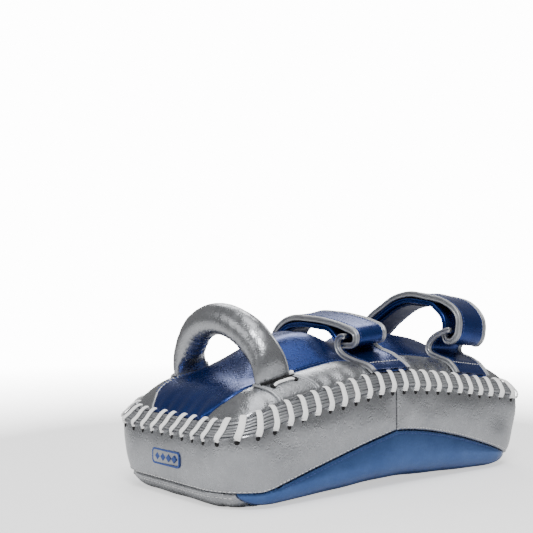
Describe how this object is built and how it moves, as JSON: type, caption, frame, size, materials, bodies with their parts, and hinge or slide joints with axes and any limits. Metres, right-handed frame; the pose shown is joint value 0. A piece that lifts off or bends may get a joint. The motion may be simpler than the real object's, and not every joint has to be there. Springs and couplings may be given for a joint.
{
  "type": "thai pad",
  "caption": "Curved laced kick pad with a padded strike face, a domed back, a fixed grip handle and two forearm straps with folding hook-and-loop tails",
  "frame": {"origin": "Centre of the pad's footprint, on the flat surface its strike face rests on.", "axes": "+X runs along the pad from the hand end to the elbow end, +Y runs across it to the side where the straps are sewn down, and +Z points out of the back, where the handle and straps are."},
  "size_m": [0.4124, 0.2084, 0.1895],
  "materials": {
    "silver_leather": "metallic silver grained leather, satin sheen",
    "blue_leather_light": "metallic mid blue grained leather, satin sheen",
    "blue_leather_dark": "metallic deep blue grained leather, satin sheen",
    "rim_leather": "cut edges of stacked silver leather plies",
    "white_cord": "flat woven white lacing cord",
    "silver_binding": "pale silver edge binding and piping",
    "blue_lining": "dark blue soft lining",
    "hook_and_loop": "black hook-and-loop tape",
    "foam": "closed-cell foam, matte"
  },
  "bodies": {
    "pad": {"strike_panel_hand": "silver_leather", "strike_panel_elbow": "silver_leather", "side_wall_hand": "silver_leather", "side_wall_elbow": "silver_leather", "back_panel_left": "silver_leather", "back_panel_right": "silver_leather", "handle_tab_left": "silver_leather", "handle_tab_right": "silver_leather", "handle_foot_left": "silver_leather", "handle_foot_right": "silver_leather", "strike_panel_left": "blue_leather_light", "strike_panel_right": "blue_leather_light", "back_panel_centre": "blue_leather_dark", "strap_1_band": "blue_leather_dark", "strap_1_catch": "blue_leather_dark", "strap_2_band": "blue_leather_dark", "strap_2_catch": "blue_leather_dark", "rim_welt_lower": "rim_leather", "rim_welt_middle": "rim_leather", "rim_welt_upper": "rim_leather", "rim_lacing": "white_cord", "handle_ties": "white_cord", "strike_foam": "foam", "core_foam_hand": "foam", "core_foam_elbow": "foam", "back_foam": "foam", "strap_1_band_binding": "silver_binding", "strap_1_catch_binding": "silver_binding", "strap_2_band_binding": "silver_binding", "strap_2_catch_binding": "silver_binding", "strap_1_liner": "blue_lining", "strap_2_liner": "blue_lining", "strap_1_loop_patch": "hook_and_loop", "strap_2_loop_patch": "hook_and_loop"},
    "handle": {"handle_core": "foam", "handle_cover": "silver_leather", "handle_piping": "silver_binding"},
    "strap_1_tail": {"strap_1_tail": "blue_leather_dark", "strap_1_tail_binding": "silver_binding", "strap_1_hook_patch": "hook_and_loop"},
    "strap_2_tail": {"strap_2_tail": "blue_leather_dark", "strap_2_tail_binding": "silver_binding", "strap_2_hook_patch": "hook_and_loop"}
  },
  "joints": [
    {"name": "handle_fold", "type": "hinge", "parent": "pad", "child": "handle", "pos_m": [-0.13504, 0, 0.12082], "axis": [0, 1, 0], "range_deg": [-5, 35]},
    {"name": "strap_1_peel", "type": "hinge", "parent": "pad", "child": "strap_1_tail", "pos_m": [-0.00001, -0.062, 0.146], "axis": [1, 0, 0.0002], "range_deg": [0, 90]},
    {"name": "strap_2_peel", "type": "hinge", "parent": "pad", "child": "strap_2_tail", "pos_m": [0.12874, -0.088, 0.14994], "axis": [0.9974, 0, -0.0719], "range_deg": [0, 90]}
  ]
}
